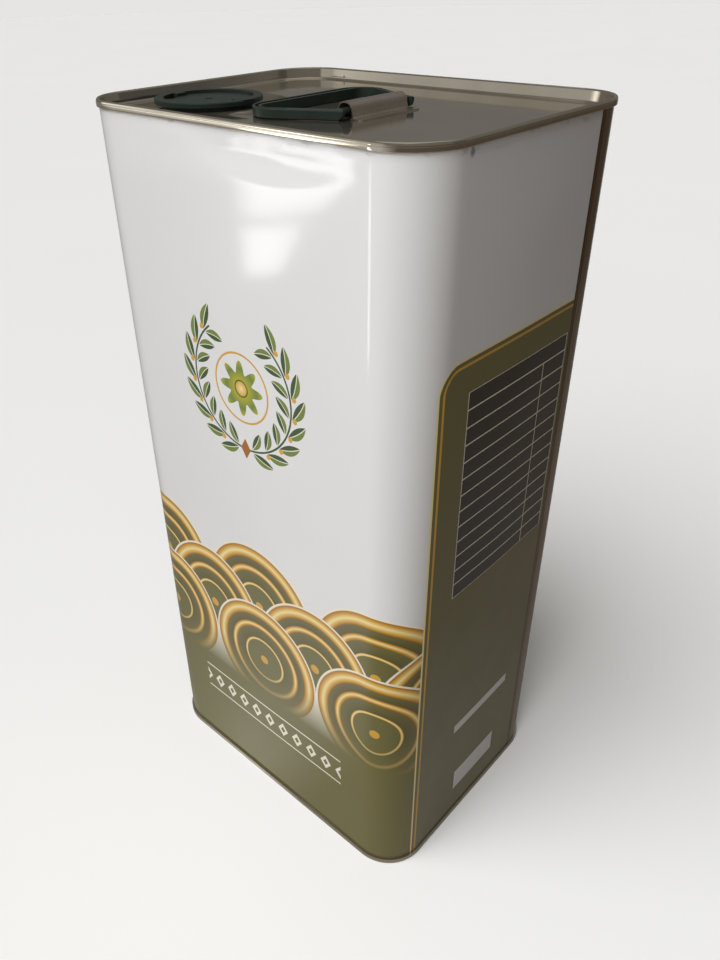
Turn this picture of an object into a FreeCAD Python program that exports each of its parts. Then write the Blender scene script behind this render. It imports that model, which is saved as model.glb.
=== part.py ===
import FreeCAD, Part
import math
import os

# A five litre oil tin: a printed tinplate body between two double-seamed ends, a carry handle
# held by a welded strap, and a pull-up pouring spout under a flat cap with two lift-up bails.
# Millimetres. The origin is the middle of the base, +Z is up and the front wall faces -Y.

# Tin, measured over the rolled seams
TIN_WIDTH = 154.0
TIN_DEPTH = 118.0
TIN_HEIGHT = 312.0
BODY_CORNER_RADIUS = 18.0
BODY_SHEET = 0.28
END_SHEET = 0.28

# Double seam at both ends
SEAM_HEIGHT = 2.6
SEAM_CREST_RADIUS = 0.5
LAYER_GAP = 0.02
HOOK_END_GAP = 0.15
COMPOUND_GAP = 0.02

# Welded lap along the right wall
LAP_WIDTH = 1.0
LAP_RISE = 0.12
LAP_FROM_BEND = 0.6
LAP_END_GAP = 0.5

# Lid and bottom panels
LID_DEPTH = 4.3
BOTTOM_DEPTH = 4.3
COUNTERSINK_RADIUS = 0.8
PANEL_INSET = 6.0
BEAD_INSET = 9.0
BEAD_RISE = 1.6
BEAD_SLOPE = 45.0

# Neck turned up round the pouring hole
CLOSURE_FROM_LEFT = 30.0
CLOSURE_FROM_FRONT = 36.5
CLOSURE_TURN = 5.0
NECK_RADIUS = 15.0
NECK_HEIGHT = 0.8
NECK_BEND = 0.3

# Spout collar, snapped over the neck
COLLAR_RADIUS = 17.2
COLLAR_HEIGHT = 1.3
COLLAR_SKIRT = 1.6
SLEEVE_WALL = 1.3
SLEEVE_LENGTH = 24.0
SNAP_BEAD_RISE = 0.6
SNAP_BEAD_HEIGHT = 1.2
SNAP_BEAD_SHOULDER = 0.4
STOP_LIP_THICKNESS = 1.0
FOOT_LIP_REACH = 0.8
FOOT_LIP_THICKNESS = 0.8
SEAT_CLEARANCE = 0.1

# Pouring spout, sliding in the collar
SPOUT_WALL = 1.2
SPOUT_FLANGE_REACH = 1.3
SPOUT_FLANGE_THICKNESS = 1.4
SPOUT_LIP_REACH = 1.2
SPOUT_LIP_THICKNESS = 0.45
SLIDE_CLEARANCE = 0.25

# Cap with its plug, hinge lugs and finger slots
CAP_GAP = 0.15
DISC_RADIUS = 15.9
DISC_THICKNESS = 0.6
PLUG_WALL = 1.2
PLUG_LENGTH = 6.0
PLUG_CLEARANCE = 0.1
PLUG_LEAD_IN = 0.4
LUG_WIDTH = 4.8
LUG_ROOT = 2.0
SLOT_WIDTH = 2.6
SLOT_START = 9.0
SLOT_END = 33.0
GATE_RADIUS = 1.5
GATE_DEPTH = 0.25
GATE_NUB_RADIUS = 0.5

# Lift-up bails, two half rings round the disc
BAIL_RADIUS = 19.6
BAIL_THICKNESS = 1.6
BAIL_BEVEL = 0.35
BAIL_CLEARANCE = 0.3
BAIL_HINGE_GAP = 0.15

# Handle strap, spot-welded to the lid
STRAP_X = 13.95
STRAP_Y = -3.0
STRAP_SHEET = 0.45
STRAP_LENGTH = 28.5
STRAP_FOOT_LENGTH = 30.5
STRAP_FOOT_REACH = 4.65
STRAP_BEND = 0.6
STRAP_CREST_RADIUS = 2.2
STRAP_CREASE_HEIGHT = 2.4
STRAP_FLARE = 0.4
FOOT_CORNER_RADIUS = 1.2

# Carry handle
HANDLE_THICKNESS = 3.25
HANDLE_ARM_BAND = 2.4
HANDLE_GRIP_BAND = 5.0
HANDLE_REACH = 33.05
HANDLE_ARM_SPLAY = 25.0
HANDLE_END_CLEARANCE = 0.15
HANDLE_SIDE_PLAY = 1.85
HANDLE_SLID_FORWARD = 1.1
HANDLE_SLID_RIGHT = 1.0
HANDLE_CORNER_RADIUS = 10.0
HANDLE_BEVEL = 0.4
HANDLE_LID_GAP = 0.2
PIVOT_RISE = 1.05
PIVOT_RADIUS = 1.4
PIVOT_SIDE_CLEARANCE = 1.25
PIVOT_TOP_CLEARANCE = 0.45
GROOVE_ARM_RIM = 0.7
GROOVE_GRIP_RIM = 1.5
GROOVE_DEPTH = 0.8
GROOVE_END = 15.0

# Places across the seam, outward from the face of the body wall
COVER_HOOK_IN = LAYER_GAP
COVER_HOOK_OUT = COVER_HOOK_IN + END_SHEET
BODY_HOOK_IN = COVER_HOOK_OUT + LAYER_GAP
BODY_HOOK_OUT = BODY_HOOK_IN + BODY_SHEET
SEAM_WALL_IN = BODY_HOOK_OUT + LAYER_GAP
SEAM_OVERHANG = SEAM_WALL_IN + END_SHEET
CHUCK_WALL_OUT = -BODY_SHEET - LAYER_GAP
CHUCK_WALL_IN = CHUCK_WALL_OUT - END_SHEET

# Places along the seam, inward from its crest
FLANGE_CREST = END_SHEET + LAYER_GAP
FLANGE_UNDER = FLANGE_CREST + BODY_SHEET
COVER_HOOK_END = FLANGE_UNDER + HOOK_END_GAP
BODY_HOOK_END = SEAM_HEIGHT - END_SHEET - HOOK_END_GAP

# Body wall
BODY_HALF_WIDTH = TIN_WIDTH / 2 - SEAM_OVERHANG
BODY_HALF_DEPTH = TIN_DEPTH / 2 - SEAM_OVERHANG

# Place of the closure's axis on the lid
CLOSURE_X = CLOSURE_FROM_LEFT - TIN_WIDTH / 2
CLOSURE_Y = CLOSURE_FROM_FRONT - TIN_DEPTH / 2

# Heights on the lid
PANEL_Z = TIN_HEIGHT - LID_DEPTH
PIVOT_HEIGHT = HANDLE_LID_GAP + HANDLE_THICKNESS / 2 + PIVOT_RISE
PIVOT_Z = PANEL_Z + PIVOT_HEIGHT
CAP_BASE = COLLAR_HEIGHT + CAP_GAP
BAIL_TOP = CAP_BASE + BAIL_THICKNESS

UP = FreeCAD.Vector(0, 0, 1)
SIDE_COUNT = 4
QUARTER_TURN = 90.0
FULL_TURN = 360.0


def rounded_wire(corners, closed=True):
    """A wire through the corners, each a point and the radius that rounds it."""
    stops = []
    last = len(corners) - 1
    for index, (point, radius) in enumerate(corners):
        if radius == 0 or (not closed and index in (0, last)):
            stops.append((point, None, point))
            continue
        back = (corners[index - 1][0] - point).normalize()
        ahead = (corners[(index + 1) % len(corners)][0] - point).normalize()
        half_angle = back.getAngle(ahead) / 2
        reach = radius / math.tan(half_angle)
        bulge = radius / math.sin(half_angle) - radius
        middle = point + (back + ahead).normalize() * bulge
        stops.append((point + back * reach, middle, point + ahead * reach))
    edges = []
    for index, (start, middle, end) in enumerate(stops):
        if middle is not None:
            edges.append(Part.Arc(start, middle, end).toShape())
        if closed or index < last:
            next_start = stops[(index + 1) % len(stops)][0]
            edges.append(Part.LineSegment(end, next_start).toShape())
    return Part.Wire(edges)


def upright(across, height, radius=0.0):
    """A corner of a profile drawn in the XZ plane."""
    return FreeCAD.Vector(across, 0, height), radius


def level(x, y, radius=0.0):
    """A corner of an outline drawn in the XY plane."""
    return FreeCAD.Vector(x, y, 0), radius


def swept_faces(profile):
    """The faces that a profile, drawn outward along X from the body wall, makes once round the tin."""
    faces = []
    for side in range(SIDE_COUNT):
        turn = FreeCAD.Rotation(UP, side * QUARTER_TURN)
        outward = turn.multVec(FreeCAD.Vector(1, 0, 0))
        along = turn.multVec(FreeCAD.Vector(0, 1, 0))
        faces_x = side % 2 == 0
        reach = BODY_HALF_WIDTH if faces_x else BODY_HALF_DEPTH
        half_run = (BODY_HALF_DEPTH if faces_x else BODY_HALF_WIDTH) - BODY_CORNER_RADIUS
        wall = profile.copy()
        wall.Placement = FreeCAD.Placement(outward * reach - along * half_run, turn)
        faces += wall.extrude(along * half_run * 2).Faces
        corner = profile.copy()
        corner.Placement = FreeCAD.Placement(outward * reach + along * half_run, turn)
        pivot = outward * (reach - BODY_CORNER_RADIUS) + along * half_run
        faces += corner.revolve(pivot, UP, QUARTER_TURN).Faces
    return faces


def sewn_solid(faces):
    """One closed solid from faces that meet edge to edge."""
    shell = Part.makeShell(faces)
    shell.sewShape()
    solid = Part.makeSolid(shell)
    if solid.Volume < 0:
        solid.reverse()
    return solid


def plan_wire(offset, z):
    """The body's rounded outline, moved outward by the offset, at a height."""
    half_x = BODY_HALF_WIDTH + offset
    half_y = BODY_HALF_DEPTH + offset
    radius = BODY_CORNER_RADIUS + offset
    wire = rounded_wire([
        level(-half_x, -half_y, radius),
        level(half_x, -half_y, radius),
        level(half_x, half_y, radius),
        level(-half_x, half_y, radius),
    ])
    wire.translate(UP * z)
    return wire


def turned(corners):
    """A solid of revolution about the closure's axis, from a profile of radii and heights."""
    return Part.Face(rounded_wire(corners)).revolve(FreeCAD.Vector(), UP, FULL_TURN)


def on_closure(shape):
    """A closure piece, drawn on the Z axis above the panel, moved to its place on the lid."""
    place = FreeCAD.Vector(CLOSURE_X, CLOSURE_Y, PANEL_Z)
    shape.Placement = FreeCAD.Placement(place, FreeCAD.Rotation(UP, CLOSURE_TURN))
    return shape


def body_shell():
    """The body sheet, with a hook turned out and back at each end and a lap welded along the right wall."""
    high = TIN_HEIGHT
    profile = rounded_wire([
        upright(-BODY_SHEET, FLANGE_CREST),
        upright(-BODY_SHEET, high - FLANGE_CREST),
        upright(BODY_HOOK_OUT, high - FLANGE_CREST),
        upright(BODY_HOOK_OUT, high - BODY_HOOK_END),
        upright(BODY_HOOK_IN, high - BODY_HOOK_END),
        upright(BODY_HOOK_IN, high - FLANGE_UNDER),
        upright(0, high - FLANGE_UNDER),
        upright(0, FLANGE_UNDER),
        upright(BODY_HOOK_IN, FLANGE_UNDER),
        upright(BODY_HOOK_IN, BODY_HOOK_END),
        upright(BODY_HOOK_OUT, BODY_HOOK_END),
        upright(BODY_HOOK_OUT, FLANGE_CREST),
    ])
    tube = sewn_solid(swept_faces(profile))
    lap_base = SEAM_HEIGHT + LAP_END_GAP
    lap = Part.makeBox(BODY_SHEET + LAP_RISE, LAP_WIDTH, TIN_HEIGHT - 2 * lap_base)
    lap_y = BODY_HALF_DEPTH - BODY_CORNER_RADIUS - LAP_FROM_BEND - LAP_WIDTH / 2
    lap.translate(FreeCAD.Vector(BODY_HALF_WIDTH - BODY_SHEET, lap_y, lap_base))
    return tube.fuse(lap).removeSplitter()


def seam_side(depth, countersink_radius, chuck_radius):
    """The outer and inner lines of an end sheet, from the panel over the seam to the cover hook."""
    return [
        (CHUCK_WALL_IN, depth, countersink_radius),
        (CHUCK_WALL_IN, 0, chuck_radius),
        (SEAM_OVERHANG, 0, SEAM_CREST_RADIUS),
        (SEAM_OVERHANG, SEAM_HEIGHT, 0),
        (COVER_HOOK_IN, SEAM_HEIGHT, 0),
        (COVER_HOOK_IN, COVER_HOOK_END, 0),
        (COVER_HOOK_OUT, COVER_HOOK_END, 0),
        (COVER_HOOK_OUT, SEAM_HEIGHT - END_SHEET, 0),
        (SEAM_WALL_IN, SEAM_HEIGHT - END_SHEET, 0),
        (SEAM_WALL_IN, END_SHEET, 0),
        (CHUCK_WALL_OUT, END_SHEET, 0),
        (CHUCK_WALL_OUT, depth + END_SHEET, 0),
    ]


def top_end():
    """The lid: seam, chuck wall and sunk panel, with a neck turned up round the pouring hole."""
    side = seam_side(LID_DEPTH, COUNTERSINK_RADIUS, SEAM_CREST_RADIUS)
    line = [(-PANEL_INSET, LID_DEPTH, 0)] + side + [(-PANEL_INSET, LID_DEPTH + END_SHEET, 0)]
    profile = rounded_wire([upright(u, TIN_HEIGHT - w, r) for u, w, r in line], closed=False)
    faces = swept_faces(profile)
    faces.append(Part.Face(plan_wire(-PANEL_INSET, PANEL_Z)))
    faces.append(Part.Face(plan_wire(-PANEL_INSET, PANEL_Z - END_SHEET)))
    lid = sewn_solid(faces)
    neck_out = NECK_RADIUS + END_SHEET
    neck_foot = neck_out + NECK_BEND
    hole = on_closure(Part.makeCylinder(neck_foot, LID_DEPTH, UP * (-LID_DEPTH / 2)))
    neck = on_closure(turned([
        upright(NECK_RADIUS, -END_SHEET),
        upright(neck_foot, -END_SHEET),
        upright(neck_foot, 0),
        upright(neck_out, 0),
        upright(neck_out, NECK_HEIGHT),
        upright(NECK_RADIUS, NECK_HEIGHT),
    ]))
    return lid.cut(hole).fuse(neck).removeSplitter()


def bottom_end():
    """The base: seam, chuck wall and a panel stiffened by a raised rounded field."""
    raised = BOTTOM_DEPTH + BEAD_RISE
    slope = math.radians(BEAD_SLOPE)
    slope_shift = END_SHEET * math.tan(slope / 2)
    bead_in = -BEAD_INSET - BEAD_RISE / math.tan(slope)
    field = bead_in - PANEL_INSET
    under = [
        (field, raised, 0),
        (bead_in, raised, 0),
        (-BEAD_INSET, BOTTOM_DEPTH, 0),
    ]
    over = [
        (-BEAD_INSET + slope_shift, BOTTOM_DEPTH + END_SHEET, 0),
        (bead_in + slope_shift, raised + END_SHEET, 0),
        (field, raised + END_SHEET, 0),
    ]
    line = under + seam_side(BOTTOM_DEPTH, 0, 0) + over
    profile = rounded_wire([upright(u, w, r) for u, w, r in line], closed=False)
    faces = swept_faces(profile)
    faces.append(Part.Face(plan_wire(field, raised)))
    faces.append(Part.Face(plan_wire(field, raised + END_SHEET)))
    return sewn_solid(faces)


def seam_compound(crest_z, inward):
    """The sealing compound that fills the fold of the body flange, above the cover hook."""
    near = FLANGE_UNDER + COMPOUND_GAP
    far = COVER_HOOK_END - COMPOUND_GAP
    profile = rounded_wire([
        upright(COVER_HOOK_IN, crest_z + inward * near),
        upright(COVER_HOOK_OUT, crest_z + inward * near),
        upright(COVER_HOOK_OUT, crest_z + inward * far),
        upright(COVER_HOOK_IN, crest_z + inward * far),
    ])
    return sewn_solid(swept_faces(profile))


# Radii of the closure, from the neck inward
SLEEVE_OUT = NECK_RADIUS - SEAT_CLEARANCE
SLEEVE_BORE = SLEEVE_OUT - SLEEVE_WALL
SPOUT_OUT = SLEEVE_BORE - SLIDE_CLEARANCE - SPOUT_FLANGE_REACH
SPOUT_BORE = SPOUT_OUT - SPOUT_WALL
SPOUT_LIP_OUT = SPOUT_OUT + SPOUT_LIP_REACH
STOP_BORE = SPOUT_OUT + SLIDE_CLEARANCE
PLUG_OUT = SPOUT_BORE - PLUG_CLEARANCE

# Heights of the closure above the lid panel
SPOUT_MOUTH = COLLAR_HEIGHT - SEAT_CLEARANCE / 2
SPOUT_LIP_UNDER = SPOUT_MOUTH - SPOUT_LIP_THICKNESS
STOP_TOP = SPOUT_LIP_UNDER - SEAT_CLEARANCE
STOP_UNDER = STOP_TOP - STOP_LIP_THICKNESS
SLEEVE_FOOT = -SLEEVE_LENGTH
FOOT_LIP_TOP = SLEEVE_FOOT + FOOT_LIP_THICKNESS
SPOUT_FOOT = FOOT_LIP_TOP + SLIDE_CLEARANCE
SPOUT_FLANGE_TOP = SPOUT_FOOT + SPOUT_FLANGE_THICKNESS


def spout_collar():
    """The fixed collar: a flange and skirt over the neck, a snap bead under it and a guide sleeve below."""
    groove_top = NECK_HEIGHT + SEAT_CLEARANCE / 2
    bead_top = -END_SHEET - SEAT_CLEARANCE
    skirt_in = COLLAR_RADIUS - COLLAR_SKIRT
    return on_closure(turned([
        upright(STOP_BORE, STOP_UNDER),
        upright(STOP_BORE, STOP_TOP),
        upright(SPOUT_LIP_OUT + SLIDE_CLEARANCE, STOP_TOP),
        upright(SPOUT_LIP_OUT + SLIDE_CLEARANCE, COLLAR_HEIGHT),
        upright(COLLAR_RADIUS, COLLAR_HEIGHT),
        upright(COLLAR_RADIUS, 0),
        upright(skirt_in, 0),
        upright(skirt_in, groove_top),
        upright(SLEEVE_OUT, groove_top),
        upright(SLEEVE_OUT, bead_top),
        upright(SLEEVE_OUT + SNAP_BEAD_RISE, bead_top - SNAP_BEAD_SHOULDER),
        upright(SLEEVE_OUT, bead_top - SNAP_BEAD_HEIGHT),
        upright(SLEEVE_OUT, SLEEVE_FOOT),
        upright(SLEEVE_BORE - FOOT_LIP_REACH, SLEEVE_FOOT),
        upright(SLEEVE_BORE - FOOT_LIP_REACH, FOOT_LIP_TOP),
        upright(SLEEVE_BORE, FOOT_LIP_TOP),
        upright(SLEEVE_BORE, STOP_UNDER),
    ]))


def pour_spout():
    """The sliding spout: a tube with a pouring lip at its mouth and a captive flange at its foot."""
    return on_closure(turned([
        upright(SPOUT_BORE, SPOUT_FOOT),
        upright(SPOUT_OUT + SPOUT_FLANGE_REACH, SPOUT_FOOT),
        upright(SPOUT_OUT + SPOUT_FLANGE_REACH, SPOUT_FLANGE_TOP),
        upright(SPOUT_OUT, SPOUT_FLANGE_TOP),
        upright(SPOUT_OUT, SPOUT_LIP_UNDER),
        upright(SPOUT_LIP_OUT, SPOUT_LIP_UNDER),
        upright(SPOUT_LIP_OUT, SPOUT_MOUTH),
        upright(SPOUT_BORE, SPOUT_MOUTH),
    ]))


def ring_sector(inner, outer, start, end, base, height):
    """A piece of a flat ring between two angles."""
    ring = Part.makeCylinder(outer, height, UP * base, UP, end - start)
    ring = ring.cut(Part.makeCylinder(inner, height, UP * base))
    return ring.rotate(FreeCAD.Vector(), UP, start)


def spout_cap():
    """The cap: a sunk disc with a plug below, two hinge lugs level with the bails and two finger slots."""
    disc_top = CAP_BASE + DISC_THICKNESS
    plug_foot = CAP_BASE - PLUG_LENGTH
    cap = turned([
        upright(0, disc_top),
        upright(0, CAP_BASE),
        upright(PLUG_OUT - PLUG_WALL, CAP_BASE),
        upright(PLUG_OUT - PLUG_WALL, plug_foot),
        upright(PLUG_OUT - PLUG_LEAD_IN, plug_foot),
        upright(PLUG_OUT, plug_foot + PLUG_LEAD_IN),
        upright(PLUG_OUT, CAP_BASE),
        upright(DISC_RADIUS, CAP_BASE),
        upright(DISC_RADIUS, disc_top),
    ])
    for side in (0, FULL_TURN / 2):
        rim = ring_sector(DISC_RADIUS - LUG_ROOT, BAIL_RADIUS, -QUARTER_TURN / 2, QUARTER_TURN / 2,
                          CAP_BASE, BAIL_THICKNESS)
        bar = Part.makeBox(BAIL_RADIUS, LUG_WIDTH, BAIL_TOP, FreeCAD.Vector(0, -LUG_WIDTH / 2, 0))
        lug = rim.common(bar).rotate(FreeCAD.Vector(), UP, side)
        slot = ring_sector(DISC_RADIUS - SLOT_WIDTH, BAIL_RADIUS, SLOT_START + side, SLOT_END + side,
                           CAP_BASE, BAIL_THICKNESS)
        cap = cap.cut(slot).fuse(lug)
    gate = Part.makeCylinder(GATE_RADIUS, GATE_DEPTH, UP * (disc_top - GATE_DEPTH))
    nub = Part.makeCylinder(GATE_NUB_RADIUS, GATE_DEPTH, UP * (disc_top - GATE_DEPTH))
    return on_closure(cap.cut(gate.cut(nub)).removeSplitter())


def pull_bail(side):
    """A half ring beside the disc that lifts by its ends at the lugs. Side is -1 in front, +1 behind."""
    ring = turned([
        upright(DISC_RADIUS + BAIL_CLEARANCE, CAP_BASE),
        upright(BAIL_RADIUS, CAP_BASE),
        upright(BAIL_RADIUS, BAIL_TOP - BAIL_BEVEL),
        upright(BAIL_RADIUS - BAIL_BEVEL, BAIL_TOP),
        upright(DISC_RADIUS + BAIL_CLEARANCE, BAIL_TOP),
    ])
    hinge_line = LUG_WIDTH / 2 + BAIL_HINGE_GAP
    half = Part.makeBox(2 * BAIL_RADIUS, BAIL_RADIUS, BAIL_TOP, FreeCAD.Vector(-BAIL_RADIUS, hinge_line, 0))
    if side < 0:
        half.rotate(FreeCAD.Vector(), UP, FULL_TURN / 2)
    return on_closure(ring.common(half))


# Half widths across the strap and its height inside, round the pivot bar
STRAP_IN = PIVOT_RADIUS + PIVOT_SIDE_CLEARANCE
STRAP_OUT = STRAP_IN + STRAP_SHEET
STRAP_FOOT = STRAP_OUT + STRAP_FLARE + STRAP_FOOT_REACH
STRAP_ROOF = PIVOT_HEIGHT + PIVOT_RADIUS + PIVOT_TOP_CLEARANCE


def handle_strap():
    """The strap: a sheet arched over the pivot bar, creased and flared below, with feet welded to the lid."""
    crown = STRAP_ROOF + STRAP_SHEET
    crest_out = STRAP_CREST_RADIUS + STRAP_SHEET
    bend_under = STRAP_BEND + STRAP_SHEET
    section = rounded_wire([
        upright(-STRAP_FOOT, 0),
        upright(-STRAP_IN - STRAP_FLARE, 0, bend_under),
        upright(-STRAP_IN, STRAP_CREASE_HEIGHT),
        upright(-STRAP_IN, STRAP_ROOF, STRAP_CREST_RADIUS),
        upright(STRAP_IN, STRAP_ROOF, STRAP_CREST_RADIUS),
        upright(STRAP_IN, STRAP_CREASE_HEIGHT),
        upright(STRAP_IN + STRAP_FLARE, 0, bend_under),
        upright(STRAP_FOOT, 0),
        upright(STRAP_FOOT, STRAP_SHEET),
        upright(STRAP_OUT + STRAP_FLARE, STRAP_SHEET, STRAP_BEND),
        upright(STRAP_OUT, STRAP_CREASE_HEIGHT),
        upright(STRAP_OUT, crown, crest_out),
        upright(-STRAP_OUT, crown, crest_out),
        upright(-STRAP_OUT, STRAP_CREASE_HEIGHT),
        upright(-STRAP_OUT - STRAP_FLARE, STRAP_SHEET, STRAP_BEND),
        upright(-STRAP_FOOT, STRAP_SHEET),
    ])
    strap = Part.Face(section).extrude(FreeCAD.Vector(0, STRAP_FOOT_LENGTH, 0))
    strap.translate(FreeCAD.Vector(0, -STRAP_FOOT_LENGTH / 2, 0))
    outline = rounded_wire([
        level(-STRAP_FOOT, -STRAP_FOOT_LENGTH / 2, FOOT_CORNER_RADIUS),
        level(STRAP_FOOT, -STRAP_FOOT_LENGTH / 2, FOOT_CORNER_RADIUS),
        level(STRAP_FOOT, STRAP_FOOT_LENGTH / 2, FOOT_CORNER_RADIUS),
        level(-STRAP_FOOT, STRAP_FOOT_LENGTH / 2, FOOT_CORNER_RADIUS),
    ])
    strap = strap.common(Part.Face(outline).extrude(UP * crown))
    trim = (STRAP_FOOT_LENGTH - STRAP_LENGTH) / 2
    for start in (-STRAP_FOOT_LENGTH / 2, STRAP_LENGTH / 2):
        corner = FreeCAD.Vector(-STRAP_FOOT, start, STRAP_SHEET)
        strap = strap.cut(Part.makeBox(2 * STRAP_FOOT, trim, crown, corner))
    strap.translate(FreeCAD.Vector(STRAP_X, STRAP_Y, PANEL_Z))
    return strap


# The arms pass the strap's feet, slant outward to the grip and end rounded about the pivot
ARM_SLANT = math.radians(HANDLE_ARM_SPLAY)
ARM_IN = STRAP_FOOT_LENGTH / 2 + HANDLE_SIDE_PLAY
ARM_WIDTH = HANDLE_ARM_BAND / math.cos(ARM_SLANT)
ARM_OUT = ARM_IN + ARM_WIDTH
ARM_END_RADIUS = PIVOT_HEIGHT - HANDLE_END_CLEARANCE


def handle_outline(arm_inset, grip_inset, start_x):
    """The handle's arms and grip as an open-ended trapezoid, each drawn in by its inset."""
    side_inset = arm_inset / math.cos(ARM_SLANT)
    grip_x = -HANDLE_REACH + grip_inset
    start_y = ARM_OUT - side_inset - start_x * math.tan(ARM_SLANT)
    grip_y = ARM_OUT - side_inset - grip_x * math.tan(ARM_SLANT)
    return rounded_wire([
        level(start_x, -start_y),
        level(grip_x, -grip_y, HANDLE_CORNER_RADIUS - grip_inset),
        level(grip_x, grip_y, HANDLE_CORNER_RADIUS - grip_inset),
        level(start_x, start_y),
    ])


def carry_handle():
    """The handle: a pivot bar, two spread arms and a wider grip that is grooved on both flat faces."""
    base_z = HANDLE_LID_GAP - PIVOT_HEIGHT
    rise = UP * HANDLE_THICKNESS
    past_end = 2 * ARM_END_RADIUS
    loop = Part.Face(handle_outline(0, 0, ARM_END_RADIUS)).extrude(rise)
    loop = loop.makeChamfer(HANDLE_BEVEL, [
        edge for edge in loop.Edges
        if edge.BoundBox.ZLength < HANDLE_BEVEL and edge.BoundBox.XMin < -HANDLE_BEVEL])
    window = Part.Face(handle_outline(HANDLE_ARM_BAND, HANDLE_GRIP_BAND, past_end)).extrude(rise)
    notch = Part.makeBox(past_end, 2 * ARM_IN, HANDLE_THICKNESS, FreeCAD.Vector(0, -ARM_IN, 0))
    loop = loop.cut(window).cut(notch)
    groove_arm = HANDLE_ARM_BAND - GROOVE_ARM_RIM
    groove_grip = HANDLE_GRIP_BAND - GROOVE_GRIP_RIM
    track = Part.Face(handle_outline(GROOVE_ARM_RIM, GROOVE_GRIP_RIM, -GROOVE_END))
    island = Part.Face(handle_outline(groove_arm, groove_grip, past_end))
    groove = track.cut(island).extrude(UP * GROOVE_DEPTH)
    loop = loop.cut(groove)
    groove.translate(UP * (HANDLE_THICKNESS - GROOVE_DEPTH))
    loop = loop.cut(groove)
    loop.translate(UP * base_z)
    along = FreeCAD.Vector(0, 1, 0)
    end_zone = Part.makeBox(past_end, 2 * ARM_OUT, HANDLE_THICKNESS, FreeCAD.Vector(0, -ARM_OUT, base_z))
    round_end = Part.makeCylinder(ARM_END_RADIUS, 2 * ARM_OUT, along * -ARM_OUT, along)
    loop = loop.cut(end_zone.cut(round_end))
    half_bar = ARM_IN + ARM_WIDTH / 2
    bar = Part.makeCylinder(PIVOT_RADIUS, 2 * half_bar, along * -half_bar, along)
    level_with_arms = FreeCAD.Vector(-PIVOT_RADIUS, -half_bar, base_z)
    bar = bar.common(Part.makeBox(2 * PIVOT_RADIUS, 2 * half_bar, HANDLE_THICKNESS, level_with_arms))
    handle = loop.fuse(bar).removeSplitter()
    handle.translate(FreeCAD.Vector(STRAP_X + HANDLE_SLID_RIGHT, STRAP_Y - HANDLE_SLID_FORWARD, PIVOT_Z))
    return handle


pieces = {
    "body_shell": body_shell(),
    "top_end": top_end(),
    "bottom_end": bottom_end(),
    "top_seam_compound": seam_compound(TIN_HEIGHT, -1),
    "bottom_seam_compound": seam_compound(0, 1),
    "handle_strap": handle_strap(),
    "carry_handle": carry_handle(),
    "spout_collar": spout_collar(),
    "pour_spout": pour_spout(),
    "spout_cap": spout_cap(),
    "pull_bail_front": pull_bail(-1),
    "pull_bail_rear": pull_bail(1),
}

os.makedirs("parts", exist_ok=True)
for name, shape in pieces.items():
    solid_count = len(shape.Solids)
    print(name, "valid", shape.isValid(), "solids", solid_count, "volume", round(shape.Volume, 2))
    shape.exportStep(os.path.join("parts", name + ".step"))
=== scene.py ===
import math

import bmesh
import bpy
import numpy as np
from mathutils import Matrix, Vector


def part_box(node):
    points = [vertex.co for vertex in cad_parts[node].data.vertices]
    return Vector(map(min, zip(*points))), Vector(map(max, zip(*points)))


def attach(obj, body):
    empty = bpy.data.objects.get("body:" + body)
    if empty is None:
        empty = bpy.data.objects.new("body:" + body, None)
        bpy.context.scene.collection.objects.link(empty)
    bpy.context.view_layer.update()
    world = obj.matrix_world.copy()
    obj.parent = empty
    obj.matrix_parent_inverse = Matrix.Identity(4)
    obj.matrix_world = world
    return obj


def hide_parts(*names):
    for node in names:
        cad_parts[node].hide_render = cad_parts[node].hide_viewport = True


# A five litre oil tin on a pale floor: the printed body sheet, bare tinplate ends, a welded handle
# strap and dark green plastic fittings. Lengths are in metres. Only the lid's profile and the layout
# of the print are in millimetres, as their headings say.

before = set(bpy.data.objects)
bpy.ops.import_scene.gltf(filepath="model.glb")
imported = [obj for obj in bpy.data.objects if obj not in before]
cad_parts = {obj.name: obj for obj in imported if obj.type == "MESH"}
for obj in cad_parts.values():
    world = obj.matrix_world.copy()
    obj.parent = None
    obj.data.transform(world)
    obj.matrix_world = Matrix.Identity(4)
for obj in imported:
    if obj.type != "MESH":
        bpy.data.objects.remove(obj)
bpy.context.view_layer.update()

MM = 0.001

# Camera, as the photograph was taken
CAMERA_PLACE = Vector((0.19795, -0.22459, 0.35053))
CAMERA_AZIMUTH = math.radians(43.37)
CAMERA_DROP = math.radians(32.46)
CAMERA_ROLL = math.radians(-1.35)
CAMERA_CLIP = 10 * MM
IMAGE_LONG_SIDE = 960
IMAGE_MIDDLE = (360, 480)
PRINCIPAL_POINT = (326.4, 468.5)
FOCAL_PIXELS = 796.27
SENSOR = 36.0

# Body sheet, which ends hidden inside the seams
end_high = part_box("top_end")[1]
SEAM_OVERHANG = 0.90 * MM
SEAM_HEIGHT = 2.6 * MM
BODY_HALF_WIDTH = end_high.x - SEAM_OVERHANG
BODY_HALF_DEPTH = end_high.y - SEAM_OVERHANG
BODY_CORNER = 18.0 * MM
BODY_SHEET = 0.28 * MM
BODY_TOP = end_high.z
HIDDEN_EDGE = 1.2 * MM

# Mesh of the body sheet, with finer rows in the upper part
ROW_STEP = 2.8 * MM
FINE_STEP = 1.0 * MM
FINE_DROP = 40.0 * MM
WALL_STEP = 3.0 * MM
CORNER_STEPS = 18
MAP_MIDDLE = 0.5

# Welded lap on the right wall
LAP_FROM_BEND = 1.1 * MM
LAP_HALF_WIDTH = 0.5 * MM
LAP_EDGE = 0.1 * MM
LAP_RISE = 0.12 * MM

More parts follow.
